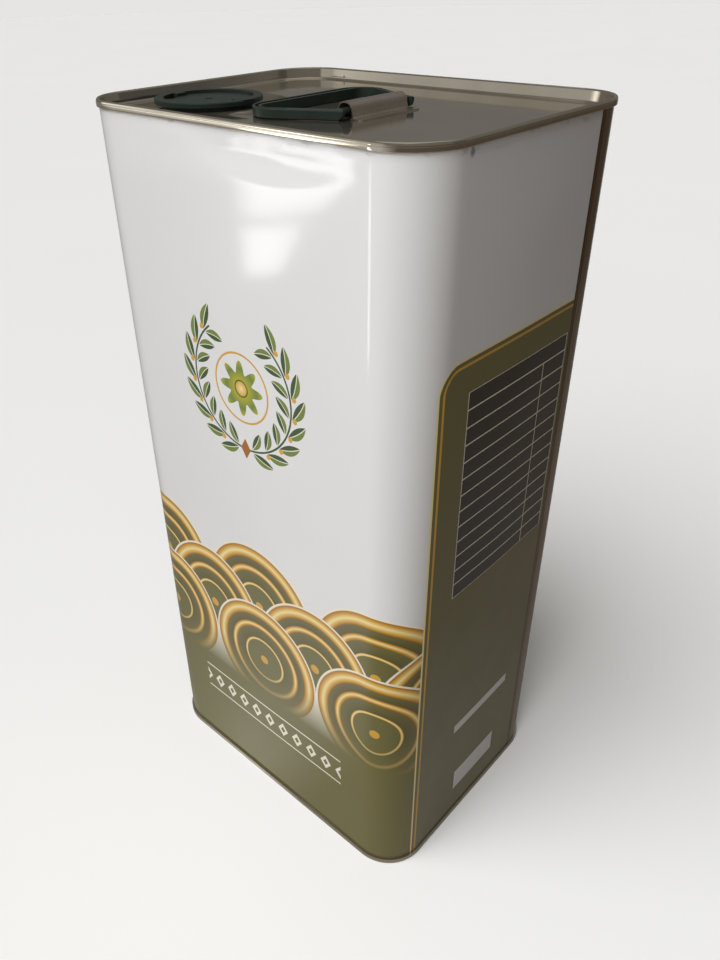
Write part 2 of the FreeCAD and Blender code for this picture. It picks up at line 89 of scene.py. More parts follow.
# Lengths along the sheet, measured round the tin from the middle of the front wall
FRONT_RUN = BODY_HALF_WIDTH - BODY_CORNER
SIDE_RUN = BODY_HALF_DEPTH - BODY_CORNER
CORNER_RUN = BODY_CORNER * math.pi / 2
QUARTER = FRONT_RUN + CORNER_RUN + SIDE_RUN
PERIMETER = 4 * QUARTER
LAP_PLACE = QUARTER + SIDE_RUN - LAP_FROM_BEND

# Swell and soft waves of the walls, which fade out over a ninth of the height at each end.
# Waves are in radians per metre, with their phases.
FRONT_SWELL = 0.7 * MM
SIDE_SWELL = 0.45 * MM
ENDS_FADE = 9.0
WAVE_DEPTH = 0.07 * MM
WAVE_ALONG, WAVE_ALONG_PHASE = 61.0, 0.6
WAVE_UP, WAVE_UP_PHASE = 47.0, 1.1
SLANT_WAVE_SHARE = 0.6
SLANT_WAVE_ALONG, SLANT_WAVE_UP = 23.0, 95.0

# Lens-shaped dent under the lid, right of the middle of the front wall
DENT_MIDDLE = 20.0 * MM
DENT_HALF_WIDTH = 42.0 * MM
DENT_DROP = 17.0 * MM
DENT_DEPTH = 0.6 * MM
DENT_SOFTNESS = 0.02
DENT_SEAM_FADE = 8.0 * MM
FRONT_EDGE_FADE = 6.0 * MM

# Puckering of the front wall just under the lid's seam, which grows towards the right
PUCKER = 0.28 * MM
PUCKER_DROP = 6.0 * MM
PUCKER_WIDTH = 3.0 * MM
PUCKER_LEAST = 0.15
PUCKER_LEFT = 0.1
PUCKER_MEAN = 0.7
PUCKER_COARSE, PUCKER_COARSE_WAVE, PUCKER_COARSE_PHASE = 0.2, 210.0, 1.3
PUCKER_FINE, PUCKER_FINE_WAVE = 0.1, 530.0

# Lid's profile, in millimetres outward from the body wall and down from the crest
SEAM_FOOT_CLEAR = 0.03
SEAM_FOOT_ROUND = 0.3
SEAM_FOOT_STEPS = 4
SEAM_LINE = 1.05
SEAM_SHOULDER = ((0.0, 0.35), (0.01, 0.16), (0.05, 0.06))
SEAM_SHOULDER_IN = 0.03
SEAM_CREST = 0.15
SEAM_CREST_STEPS = 9
CHUCK_TOP = -0.58
CHUCK_FOOT = -1.0
CHUCK_ROUND = 0.7
CHUCK_STEPS = 8
CHUCK_SHARES = (0.25, 0.5, 0.75)
LID_DEPTH = 4.3
SINK_ROUND = 0.9
SINK_STEPS = 7
SINK_FLAT = 0.4
PANEL_INSET = 6.0
PANEL_SHARES = (0.35, 0.7)
NECK_FOOT = 15.58
NECK_OUT = 15.28
NECK_RISE = 0.8


# Material building

class Paint:
    """A material under construction, with short calls for its nodes."""

    def __init__(self, name):
        self.material = bpy.data.materials.new(name)
        self.material.use_nodes = True
        self.tree = self.material.node_tree
        self.shader = self.first("BSDF_PRINCIPLED")

    def first(self, kind):
        return next(n for n in self.tree.nodes if n.type == kind)

    def node(self, kind, **settings):
        made = self.tree.nodes.new(kind)
        for key, value in settings.items():
            setattr(made, key, value)
        return made

    def feed(self, socket, value):
        if isinstance(value, bpy.types.NodeSocket):
            self.tree.links.new(value, socket)
        else:
            socket.default_value = value

    def set(self, **inputs):
        for name, value in inputs.items():
            self.feed(self.shader.inputs[name.replace("_", " ")], value)

    def show(self, surface):
        self.feed(self.first("OUTPUT_MATERIAL").inputs[0], surface)

    def math(self, operation, *values):
        made = self.node("ShaderNodeMath", operation=operation)
        for socket, value in zip(made.inputs, values):
            self.feed(socket, value)
        return made.outputs[0]

    def add(self, a, b):
        return self.math("ADD", a, b)

    def sub(self, a, b):
        return self.math("SUBTRACT", a, b)

    def mul(self, a, b):
        return self.math("MULTIPLY", a, b)

    def magnitude(self, a):
        return self.math("ABSOLUTE", a)

    def below(self, value, limit):
        return self.math("LESS_THAN", value, limit)

    def above(self, value, limit):
        return self.math("GREATER_THAN", value, limit)

    def wrapped(self, value, period):
        return self.math("WRAP", value, period / 2, -period / 2)

    def length(self, a, b):
        return self.math("SQRT", self.add(self.mul(a, a), self.mul(b, b)))

    def lozenge(self, a, b, half_width, half_height):
        """The distance from a lozenge's middle, which is one on its edge."""
        return self.add(self.mul(self.magnitude(a), 1 / half_width),
                        self.mul(self.magnitude(b), 1 / half_height))

    def both(self, *masks):
        found = masks[0]
        for mask in masks[1:]:
            found = self.mul(found, mask)
        return found

    def either(self, *masks):
        found = masks[0]
        for mask in masks[1:]:
            found = self.math("MAXIMUM", found, mask)
        return found

    def between(self, value, low, high):
        return self.both(self.above(value, low), self.below(value, high))

    def range(self, value, low, high, to_low=0.0, to_high=1.0):
        made = self.node("ShaderNodeMapRange")
        for socket, number in zip(made.inputs, (value, low, high, to_low, to_high)):
            self.feed(socket, number)
        return made.outputs[0]

    def mix(self, factor, a, b):
        made = self.node("ShaderNodeMix", data_type="RGBA")
        for name, value in (("Factor_Float", factor), ("A_Color", a), ("B_Color", b)):
            self.feed(next(s for s in made.inputs if s.identifier == name), value)
        return next(s for s in made.outputs if s.identifier == "Result_Color")

    def ramp(self, value, *stops):
        made = self.node("ShaderNodeValToRGB")
        points = made.color_ramp.elements
        while len(points) < len(stops):
            points.new(1.0)
        for point, (place, tint) in zip(points, stops):
            point.position = place
            point.color = tint
        self.feed(made.inputs[0], value)
        return made.outputs[0]

    def coordinate(self, kind):
        return self.node("ShaderNodeTexCoord").outputs[kind]

    def place(self, stretch=(1, 1, 1)):
        made = self.node("ShaderNodeMapping")
        made.inputs["Scale"].default_value = stretch
        self.feed(made.inputs[0], self.coordinate("Object"))
        return made.outputs[0]

    def split(self, vector):
        made = self.node("ShaderNodeSeparateXYZ")
        self.feed(made.inputs[0], vector)
        return made.outputs

    def noise(self, place, scale, detail=2.0, roughness=0.5):
        made = self.node("ShaderNodeTexNoise")
        self.feed(made.inputs["Vector"], place)
        for name, value in (("Scale", scale), ("Detail", detail), ("Roughness", roughness)):
            made.inputs[name].default_value = value
        return made.outputs["Fac"]

    def specks(self, place, scale, size):
        made = self.node("ShaderNodeTexVoronoi")
        self.feed(made.inputs["Vector"], place)
        made.inputs["Scale"].default_value = scale
        return self.below(made.outputs["Distance"], size)

    def bump(self, height, depth, strength, over=None):
        made = self.node("ShaderNodeBump")
        made.inputs["Strength"].default_value = strength
        made.inputs["Distance"].default_value = depth
        self.feed(made.inputs["Height"], height)
        if over is not None:
            self.feed(made.inputs["Normal"], over)
        return made.outputs[0]

    def emission(self, light, strength):
        made = self.node("ShaderNodeEmission")
        self.feed(made.inputs["Color"], light)
        made.inputs["Strength"].default_value = strength
        return made.outputs[0]


def linear(level):
    """The linear light of an eight-bit display value, by the sRGB curve."""
    return ((level / 255 + 0.055) / 1.055) ** 2.4 if level > 10 else level / 255 / 12.92


def colour(red, green, blue):
    """A colour given as eight-bit display values."""
    return linear(red), linear(green), linear(blue), 1.0


# Colours of the print, of the bare strip and of dirt
WHITE = colour(231, 230, 229)
OLIVE = colour(109, 104, 57)
OLIVE_DEEP = colour(92, 87, 45)
GOLD_PALE = colour(246, 226, 160)
GOLD = colour(214, 164, 62)
AMBER = colour(164, 102, 26)
BROWN = colour(98, 52, 14)
LEAF_LIGHT = colour(112, 132, 58)
LEAF_DARK = colour(58, 84, 44)
FRUIT = colour(176, 172, 44)
CREAM = colour(240, 233, 212)
PANEL_BLACK = colour(31, 31, 30)
LACQUERED_TIN = colour(156, 138, 110)
LACQUER_STREAK = colour(118, 92, 64)
DIRT = colour(96, 88, 78)

# Print layout, in millimetres up the wall and along the sheet.
# Rows of scales: height of a row's middles, and its shift along the sheet
SCALES_ROUND = 8
SCALE_RADIUS = PERIMETER / MM / (2 * SCALES_ROUND)
SCALE_ROWS = ((118.0, 0.0), (102.0, SCALE_RADIUS), (86.0, 0.0))
SCALE_FADE = 24.0
SCALE_RINGS = (
    (0.00, GOLD), (0.07, GOLD), (0.075, OLIVE), (0.34, OLIVE), (0.345, GOLD), (0.36, GOLD_PALE),
    (0.38, GOLD), (0.385, OLIVE_DEEP), (0.56, OLIVE), (0.565, AMBER), (0.59, GOLD),
    (0.615, GOLD_PALE), (0.64, GOLD), (0.66, AMBER), (0.665, OLIVE_DEEP), (0.78, OLIVE),
    (0.785, AMBER), (0.82, GOLD), (0.87, GOLD_PALE), (0.92, GOLD), (0.965, AMBER), (0.97, CREAM),
    (1.00, CREAM))

# Wreath and rosette on the wide walls
WREATH_HEIGHT = 222.0
WREATH_RADIUS = 25.0
WREATH_LEAVES = 10
WREATH_LEAF_PAIRS = 8
STEM_HALF_WIDTH = 0.4
LEAF_LENGTH = 5.2
LEAF_WIDTH = 2.0
LEAF_OUT = 3.9
LEAF_SLANT = math.radians(38)
LEAF_RIB = 0.16
BERRY_OUT = 1.9
BERRY_RADIUS = 1.05
FLOWER_PETALS = 8.0
FLOWER_RADIUS = 8.6
FLOWER_PETAL_DEPTH = 2.4
FLOWER_REACH = 11.0
FLOWER_RINGS = (
    (0.0, GOLD_PALE), (0.26, GOLD), (0.27, LEAF_DARK), (0.31, LEAF_DARK), (0.32, FRUIT),
    (0.72, LEAF_LIGHT), (1.0, FRUIT))
FLOWER_CIRCLE = (13.2, 14.0)
KNOT_HALF_WIDTH = 2.6
KNOT_HALF_HEIGHT = 4.4

# Row of lozenges low on the wide walls
LOZENGE_HEIGHT = 46.0
LOZENGE_PITCH = 9.0
LOZENGE_ROW = 45.0
LOZENGE_HALF_WIDTH = 3.2
LOZENGE_HALF_HEIGHT = 4.4
LOZENGE_HOLE = 0.45
LOZENGE_LINE = (7.2, 8.0)

# Field, panel, bar and patch on the narrow walls. Bar and patch: left, right, low, high
FIELD_HALF_WIDTH = 45.0
FIELD_TOP = 247.0
FIELD_CORNER = 10.0
FIELD_BORDERS = ((0.0, 0.8, GOLD_PALE), (2.2, 3.2, GOLD))
PANEL_MIDDLE = 3.2
PANEL_HALF_WIDTH = 31.9
PANEL_LOW = 147.0
PANEL_HIGH = 234.0
PANEL_LINES = 13
PANEL_LINE_HALF = 0.25
PANEL_COLUMN = 16.0
PANEL_COLUMN_HALF = 0.22
PANEL_BORDER = 0.4
BAR = (-17.5, 24.4, 60.6, 65.4)
PATCH = (-13.6, 18.6, 17.5, 30.0)

# Bare strip beside the lap, the rubbed edge under the lid and a scuff on the right wall
BARE_STRIP = (LAP_PLACE / MM - 2.6, LAP_PLACE / MM + 6.5)
BARE_SHADOW = 0.9
RUB_LOW = 306.0
RUB_HIGH = 309.4
SCUFF_PLACE = QUARTER / MM - 36.8
SCUFF_HEIGHT = 307.8
SCUFF_HALF_WIDTH = 1.3
SCUFF_HALF_HEIGHT = 2.0

# Finish of the print. Noise scales are per metre, and a span is the part of the noise that is used
NOISE_SPAN = (0.3, 0.7)
INK_CLOUDS = 12.0
INK_CLOUD_SHARE = 0.035
RUB_STRETCH = (1, 1, 3)
RUB_FLECKS = 110.0
RUB_SPAN = (0.56, 0.66)
RUB_SHARE = 0.4
SCUFF_GRAIN = 700.0
SCUFF_SPAN = (0.9, 1.5)
SCUFF_SHARE = 0.6
BARE_STRETCH = (40, 40, 1)
BARE_STREAKS = 60.0
INK_HAZE = 60.0
INK_ROUGHNESS = (0.30, 0.40)
INK_SPECULAR = 0.1
COAT_ROUGHNESS = 0.09
COAT_IOR = 1.5
PEEL = 420.0
PEEL_DEPTH = 0.012 * MM
PEEL_STRENGTH = 0.6

# Finish of bare metal
STREAK_STRETCH = (1, 26, 1)
STREAKS = 55.0
STREAK_SHARE = 0.55
CLOUDS = 26.0
CLOUD_SPAN = (0.35, 0.7)
CLOUD_SHARE = 0.45
SPECKS = 95.0
SPECK_SIZE = 0.04
SPECK_CLOUD = 0.5
TIN_METALLIC = 0.93
TIN_SPECULAR = 0.2
RIPPLES = 14.0
RIPPLE_DEPTH = 0.5 * MM
RIPPLE_STRENGTH = 0.10
GRAIN_DEPTH = 0.01 * MM
GRAIN_STRENGTH = 0.30
ROLL_STRETCH = (0.02, 0.02, 1)
ROLL_LINES = 2200.0
ROLL_STRENGTH = 0.3

# Finish of plastic and sealing compound
FLOW_STRETCH = (3, 3, 1)
FLOW_MARKS = 40.0
MOULD_GRAIN = 1500.0
MOULD_SPAN = (0.7, 1.3)
MOULD_DEPTH = 0.01 * MM
MOULD_STRENGTH = 0.4
PLASTIC_SPECULAR = 0.45
COMPOUND_LIGHT = colour(150, 138, 118)
COMPOUND_DARK = colour(120, 108, 90)
COMPOUND_BLOTCHES = 300.0
COMPOUND_ROUGHNESS = (0.6, 0.8)


def scale_field(paint, along, height, ground):
    """Rows of overlapping ringed scales standing up from the olive field, the lowest row in front."""
    found = ground
    for base, shift in SCALE_ROWS:
        across = paint.wrapped(paint.sub(along, shift), 2 * SCALE_RADIUS)
        rise = paint.sub(height, base)
        distance = paint.length(across, rise)
        rings = paint.ramp(paint.mul(distance, 1 / SCALE_RADIUS), *SCALE_RINGS)
        rings = paint.mix(paint.range(rise, -SCALE_FADE, 0.0), OLIVE, rings)
        inside = paint.either(paint.below(distance, SCALE_RADIUS), paint.below(rise, 0.0))
        found = paint.mix(inside, found, rings)
    return found


def leaf(paint, along, out, out_place, slant):
    """Masks of one leaf's blade, its upper half and its midrib, in the wreath's own coordinates."""
    away = paint.sub(out, out_place)
    lengthwise = paint.add(paint.mul(along, math.cos(slant)), paint.mul(away, math.sin(slant)))
    crosswise = paint.sub(paint.mul(away, math.cos(slant)), paint.mul(along, math.sin(slant)))
    share = paint.mul(lengthwise, 1 / LEAF_LENGTH)
    beside = paint.magnitude(crosswise)
    edge = paint.add(paint.mul(share, share), paint.mul(beside, 1 / LEAF_WIDTH))
    return paint.below(edge, 1.0), paint.above(crosswise, 0.0), paint.below(beside, LEAF_RIB)


def wreath(paint, along, height, ground):
    """Two leafy branches that meet at the foot, round a petalled rosette."""
    rise = paint.sub(height, WREATH_HEIGHT)
    radius = paint.length(along, rise)
    turn = paint.math("ARCTAN2", paint.magnitude(along), paint.mul(rise, -1.0))
    step = math.pi / WREATH_LEAVES
    out = paint.sub(radius, WREATH_RADIUS)
    stem = paint.both(paint.below(turn, step * WREATH_LEAF_PAIRS),
                      paint.below(paint.magnitude(out), STEM_HALF_WIDTH))
    found = paint.mix(stem, ground, LEAF_DARK)
    on_branch = paint.between(turn, step / 2, step * (WREATH_LEAF_PAIRS + 0.5))
    leaf_cell = paint.mul(paint.wrapped(turn, step), WREATH_RADIUS)
    for out_place, slant in ((LEAF_OUT, LEAF_SLANT), (-LEAF_OUT, -LEAF_SLANT)):
        blade, upper, rib = leaf(paint, leaf_cell, out, out_place, slant)
        green = paint.mix(upper, LEAF_DARK, LEAF_LIGHT)
        green = paint.mix(rib, green, CREAM)
        found = paint.mix(paint.both(on_branch, blade), found, green)
    among_leaves = paint.between(turn, step, step * WREATH_LEAF_PAIRS)
    berry_cell = paint.mul(paint.wrapped(paint.add(turn, step / 2), step), WREATH_RADIUS)
    berry = paint.below(paint.length(berry_cell, paint.sub(out, BERRY_OUT)), BERRY_RADIUS)
    found = paint.mix(paint.both(among_leaves, berry), found, GOLD)
    petals = paint.math("COSINE", paint.mul(paint.math("ARCTAN2", along, rise), FLOWER_PETALS))
    flower_edge = paint.add(FLOWER_RADIUS, paint.mul(petals, FLOWER_PETAL_DEPTH))
    rings = paint.ramp(paint.mul(radius, 1 / FLOWER_REACH), *FLOWER_RINGS)
    found = paint.mix(paint.below(radius, flower_edge), found, rings)
    found = paint.mix(paint.between(radius, *FLOWER_CIRCLE), found, GOLD)
    knot = paint.lozenge(along, paint.add(rise, WREATH_RADIUS), KNOT_HALF_WIDTH, KNOT_HALF_HEIGHT)
    return paint.mix(paint.below(knot, 1.0), found, AMBER)


def lozenge_row(paint, along, height, ground):
    """A row of cream lozenges between two fine lines, low on the wide walls."""
    rise = paint.sub(height, LOZENGE_HEIGHT)
    within = paint.below(paint.magnitude(along), LOZENGE_ROW)
    across = paint.wrapped(along, LOZENGE_PITCH)
    shape = paint.lozenge(across, rise, LOZENGE_HALF_WIDTH, LOZENGE_HALF_HEIGHT)
    solid = paint.both(paint.below(shape, 1.0), paint.above(shape, LOZENGE_HOLE))
    lines = paint.between(paint.magnitude(rise), *LOZENGE_LINE)
    return paint.mix(paint.both(within, paint.either(solid, lines)), ground, CREAM)


def side_field(paint, along, height, ground):
    """The olive ground of the narrow walls, rounded at the top, with a double gold border."""
    beside = paint.sub(paint.magnitude(along), FIELD_HALF_WIDTH - FIELD_CORNER)
    over = paint.sub(height, FIELD_TOP - FIELD_CORNER)
    inset = paint.sub(FIELD_CORNER, paint.length(paint.either(beside, 0.0), paint.either(over, 0.0)))
    found = paint.mix(paint.above(inset, 0.0), ground, OLIVE)
    for low, high, line in FIELD_BORDERS:
        found = paint.mix(paint.between(inset, low, high), found, line)
    return found


def side_panel(paint, along, height, ground):
    """A dark ruled panel with a plain pale bar and a plain patch below it, on the narrow walls."""
    across = paint.sub(along, PANEL_MIDDLE)
    inside = paint.both(paint.below(paint.magnitude(across), PANEL_HALF_WIDTH),
                        paint.between(height, PANEL_LOW, PANEL_HIGH))
    pitch = (PANEL_HIGH - PANEL_LOW) / PANEL_LINES
    from_line = paint.magnitude(paint.wrapped(paint.sub(height, PANEL_LOW), pitch))
    rules = paint.below(from_line, PANEL_LINE_HALF)
    from_column = paint.magnitude(paint.sub(across, PANEL_COLUMN))
    column = paint.both(paint.below(from_column, PANEL_COLUMN_HALF),
                        paint.below(height, PANEL_HIGH - pitch))
    border = paint.above(paint.magnitude(across), PANEL_HALF_WIDTH - PANEL_BORDER)
    ruled = paint.mix(paint.either(rules, column, border), PANEL_BLACK, CREAM)
    found = paint.mix(inside, ground, ruled)
    for left, right, low, high in (BAR, PATCH):
        block = paint.both(paint.between(along, left, right), paint.between(height, low, high))
        found = paint.mix(block, found, WHITE)
    return found


def worn(paint, place, along, height, ink):
    """The print with faint clouds, rubbed flecks under the lid and one scuff."""
    clouds = paint.noise(place, INK_CLOUDS, detail=3.0)
    found = paint.mix(paint.range(clouds, *NOISE_SPAN, 0.0, INK_CLOUD_SHARE), ink, BROWN)
    flecks = paint.noise(paint.place(RUB_STRETCH), RUB_FLECKS, detail=4.0, roughness=0.65)
    rubbed = paint.both(paint.range(height, RUB_LOW, RUB_HIGH), paint.range(flecks, *RUB_SPAN))
    found = paint.mix(paint.mul(rubbed, RUB_SHARE), found, DIRT)
    smear = paint.length(paint.mul(paint.sub(along, SCUFF_PLACE), 1 / SCUFF_HALF_WIDTH),
                         paint.mul(paint.sub(height, SCUFF_HEIGHT), 1 / SCUFF_HALF_HEIGHT))
    ragged = paint.add(smear, paint.noise(place, SCUFF_GRAIN, detail=3.0))
    return paint.mix(paint.range(ragged, *SCUFF_SPAN, SCUFF_SHARE, 0.0), found, PANEL_BLACK)


def printed_sheet():
    """Glossy lacquered print on tinplate, left bare beside the welded lap."""
    paint = Paint("printed_tinplate")
    uv = paint.split(paint.coordinate("UV"))
    along = paint.mul(paint.sub(uv[0], MAP_MIDDLE), PERIMETER / MM)
    height = paint.mul(uv[1], BODY_TOP / MM)
    from_front = paint.wrapped(along, 2 * QUARTER / MM)
    from_side = paint.wrapped(paint.sub(along, QUARTER / MM), 2 * QUARTER / MM)
    ink = scale_field(paint, along, height, WHITE)
    ink = wreath(paint, from_front, height, ink)
    ink = lozenge_row(paint, from_front, height, ink)
    ink = side_field(paint, from_side, height, ink)
    ink = side_panel(paint, from_side, height, ink)
    place = paint.place()
    ink = worn(paint, place, along, height, ink)
    streaks = paint.noise(paint.place(BARE_STRETCH), BARE_STREAKS, detail=3.0)
    metal = paint.mix(streaks, LACQUERED_TIN, LACQUER_STREAK)
    shadow = paint.between(along, BARE_STRIP[0], BARE_STRIP[0] + BARE_SHADOW)
    metal = paint.mix(shadow, metal, PANEL_BLACK)
    bare = paint.between(along, *BARE_STRIP)
    paint.set(Base_Color=paint.mix(bare, ink, metal), Metallic=bare)
    haze = paint.noise(place, INK_HAZE, detail=3.0)
    paint.set(Roughness=paint.range(haze, *NOISE_SPAN, *INK_ROUGHNESS), Specular_IOR_Level=INK_SPECULAR)
    paint.set(Coat_Weight=1.0, Coat_Roughness=COAT_ROUGHNESS, Coat_IOR=COAT_IOR)
    peel = paint.bump(paint.noise(place, PEEL), PEEL_DEPTH, PEEL_STRENGTH)
    paint.set(Normal=peel, Coat_Normal=peel)
    return paint.material


def tinplate(name, tint, dull, roughness, roll_depth):
    """Bright rolled tinplate with fine rolling streaks, rub marks and a few dark specks."""
    paint = Paint(name)
    place = paint.place()
    streaks = paint.noise(paint.place(STREAK_STRETCH), STREAKS, detail=4.0, roughness=0.6)
    clouds = paint.noise(place, CLOUDS, detail=4.0, roughness=0.6)
    metal = paint.mix(paint.range(clouds, *CLOUD_SPAN), tint, dull)
    dirt = paint.both(paint.specks(place, SPECKS, SPECK_SIZE), paint.above(clouds, SPECK_CLOUD))
    metal = paint.mix(dirt, metal, DIRT)
    paint.set(Base_Color=metal, Metallic=TIN_METALLIC, Specular_IOR_Level=TIN_SPECULAR)
    blend = paint.add(paint.mul(streaks, STREAK_SHARE), paint.mul(clouds, CLOUD_SHARE))
    paint.set(Roughness=paint.range(blend, *NOISE_SPAN, *roughness))
    ripple = paint.bump(paint.noise(place, RIPPLES), RIPPLE_DEPTH, RIPPLE_STRENGTH)
    grain = paint.bump(streaks, GRAIN_DEPTH, GRAIN_STRENGTH, over=ripple)
    lines = paint.noise(paint.place(ROLL_STRETCH), ROLL_LINES)
    paint.set(Normal=paint.bump(lines, roll_depth, ROLL_STRENGTH, over=grain))
    return paint.material


def moulded_plastic(name, dark, light, roughness):
    """Satin moulded plastic with a fine grain and faint flow marks."""
    paint = Paint(name)
    flow = paint.noise(paint.place(FLOW_STRETCH), FLOW_MARKS, detail=4.0, roughness=0.6)
    grain = paint.noise(paint.place(), MOULD_GRAIN)
    paint.set(Base_Color=paint.mix(paint.range(flow, *NOISE_SPAN), dark, light))
    paint.set(Roughness=paint.range(paint.add(flow, grain), *MOULD_SPAN, *roughness))
    paint.set(Specular_IOR_Level=PLASTIC_SPECULAR)
    paint.set(Normal=paint.bump(grain, MOULD_DEPTH, MOULD_STRENGTH))
    return paint.material


def seal():
    """Dried sealing compound."""
    paint = Paint("seam_compound")
    blotches = paint.noise(paint.place(), COMPOUND_BLOTCHES, detail=3.0)
    paint.set(Base_Color=paint.mix(blotches, COMPOUND_LIGHT, COMPOUND_DARK))
    paint.set(Roughness=paint.range(blotches, *NOISE_SPAN, *COMPOUND_ROUGHNESS))
    return paint.material


# Materials of the tin
PRINTED_TIN = printed_sheet()
BARE_TIN = tinplate("bare_tinplate", tint=colour(204, 196, 180), dull=colour(190, 181, 162),
                    roughness=(0.05, 0.12), roll_depth=0.012 * MM)
STRAP_STEEL = tinplate("strap_steel", tint=colour(196, 187, 174), dull=colour(176, 165, 150),
                       roughness=(0.24, 0.36), roll_depth=0.0)
HANDLE_PLASTIC = moulded_plastic("handle_plastic", dark=colour(34, 44, 38), light=colour(42, 52, 45),
                                 roughness=(0.28, 0.40))
CLOSURE_PLASTIC = moulded_plastic("closure_plastic", dark=colour(28, 37, 32), light=colour(37, 46, 40),
                                  roughness=(0.34, 0.46))
SEAL = seal()

for node, material in (
        ("body_shell", PRINTED_TIN), ("top_end", BARE_TIN), ("bottom_end", BARE_TIN),
        ("top_seam_compound", SEAL), ("bottom_seam_compound", SEAL),
        ("handle_strap", STRAP_STEEL), ("carry_handle", HANDLE_PLASTIC),
        ("spout_collar", CLOSURE_PLASTIC), ("pour_spout", CLOSURE_PLASTIC),
        ("spout_cap", CLOSURE_PLASTIC), ("pull_bail_front", CLOSURE_PLASTIC),
        ("pull_bail_rear", CLOSURE_PLASTIC)):
    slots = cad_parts[node].data.materials
    slots.clear()
    slots.append(material)


# Pieces in general

def put(name, data):
    """A new object in the scene."""
    thing = bpy.data.objects.new(name, data)
    bpy.context.scene.collection.objects.link(thing)
    return thing


def band(build, lower, upper):
    """Smooth quads that close the band between two rings of points, in the order of the points."""
    faces = []
    for column, corner in enumerate(lower):
        after = (column + 1) % len(lower)
        face = build.faces.new((corner, lower[after], upper[after], upper[column]))
        face.smooth = True
        faces.append(face)
    return faces


def sheet_piece(name, build, material):
    """A finished mesh as a piece of sheet, with its thickness behind the modelled face."""
    mesh = bpy.data.meshes.new(name)
    build.to_mesh(mesh)
    build.free()
    mesh.materials.append(material)
    sheet = put(name, mesh)
    thick = sheet.modifiers.new("sheet_thickness", "SOLIDIFY")
    thick.thickness = BODY_SHEET
    thick.offset = -1.0
    return sheet


# Body sheet

def wall_stops():
    """Places along the sheet where the mesh has a column, round the tin from the middle of the back."""
    stops = []
    for quarter in range(4):
        start = (quarter - 2) * QUARTER
        first_run, last_run = (FRONT_RUN, SIDE_RUN) if quarter % 2 == 0 else (SIDE_RUN, FRONT_RUN)
        stops += list(start + np.linspace(0, first_run, round(first_run / WALL_STEP), endpoint=False))
        stops += list(start + first_run + np.linspace(0, CORNER_RUN, CORNER_STEPS, endpoint=False))
        bend_end = start + first_run + CORNER_RUN
        stops += list(bend_end + np.linspace(0, last_run, round(last_run / WALL_STEP), endpoint=False))
    lap = [LAP_PLACE + side * (LAP_HALF_WIDTH + edge) for side in (-1, 1) for edge in (0, LAP_EDGE)]
    keep = [stop for stop in stops if abs(stop - LAP_PLACE) > 2 * LAP_HALF_WIDTH]
    return sorted(keep + lap)


def wall_point(along):
    """The place on the plan outline, and the outward direction, at a distance along the sheet."""
    turn = math.floor((along + QUARTER) / (2 * QUARTER))
    half = along - turn * 2 * QUARTER
    side = 1 if half >= 0 else -1
    reach = abs(half)
    if reach <= FRONT_RUN:
        place, outward = Vector((reach, -BODY_HALF_DEPTH)), Vector((0, -1))
    elif reach <= FRONT_RUN + CORNER_RUN:
        angle = (reach - FRONT_RUN) / BODY_CORNER
        outward = Vector((math.sin(angle), -math.cos(angle)))
        place = Vector((FRONT_RUN, -SIDE_RUN)) + outward * BODY_CORNER
    else:
        outward = Vector((1, 0))
        place = Vector((BODY_HALF_WIDTH, reach - FRONT_RUN - CORNER_RUN - SIDE_RUN))
    place.x, outward.x = place.x * side, outward.x * side
    if turn % 2:
        place, outward = -place, -outward
    return place, outward


def limited(value, least=0.0):
    """A value held between the least one and one."""
    return min(1.0, max(least, value))


def crown(place, run):
    """One in the middle of a wall and nought from its ends on."""
    return math.cos(min(1.0, abs(place) / run) * math.pi / 2)


def swell_relief(along, height):
    """The slight swell of each wall and the soft waves over it."""
    from_front = (along + QUARTER) % (2 * QUARTER) - QUARTER
    from_side = along % (2 * QUARTER) - QUARTER
    share = height / BODY_TOP
    ends = limited(min(share, 1 - share) * ENDS_FADE)
    ends = ends * ends * (3 - 2 * ends)
    front, side = crown(from_front, FRONT_RUN), crown(from_side, SIDE_RUN)
    swell = (FRONT_SWELL * front ** 2 + SIDE_SWELL * side ** 2) * math.sin(share * math.pi)
    waves = math.sin(along * WAVE_ALONG + WAVE_ALONG_PHASE) * math.sin(height * WAVE_UP + WAVE_UP_PHASE)
    waves += SLANT_WAVE_SHARE * math.sin(along * SLANT_WAVE_ALONG - height * SLANT_WAVE_UP)
    return ends * (swell + max(front, side) * waves * WAVE_DEPTH)


def front_relief(along, height):
    """The dent and the puckering under the lid, both on the front wall."""
    under = BODY_TOP - height
    on_front = limited((FRONT_RUN - abs(along)) / FRONT_EDGE_FADE)
    inside = 1 - ((along - DENT_MIDDLE) / DENT_HALF_WIDTH) ** 2 - (under / DENT_DROP) ** 2
    dent = -DENT_DEPTH * (inside + math.sqrt(inside ** 2 + DENT_SOFTNESS)) / 2
    held = min(1.0, under / DENT_SEAM_FADE)
    rightward = limited((along + FRONT_RUN) / (2 * FRONT_RUN) + PUCKER_LEFT, PUCKER_LEAST)
    puckered = (PUCKER_MEAN + PUCKER_COARSE * math.sin(along * PUCKER_COARSE_WAVE + PUCKER_COARSE_PHASE)
                + PUCKER_FINE * math.sin(along * PUCKER_FINE_WAVE))
    ridge = math.exp(-((under - PUCKER_DROP) / PUCKER_WIDTH) ** 2)
    return dent * held * on_front + PUCKER * on_front * rightward * puckered * ridge


def lap_relief(along, height):
    """The raised strip of the welded lap."""
    beside = abs(along - LAP_PLACE)
    inside = SEAM_HEIGHT < height < BODY_TOP - SEAM_HEIGHT
    return LAP_RISE if inside and beside <= LAP_HALF_WIDTH + LAP_EDGE / 2 else 0.0


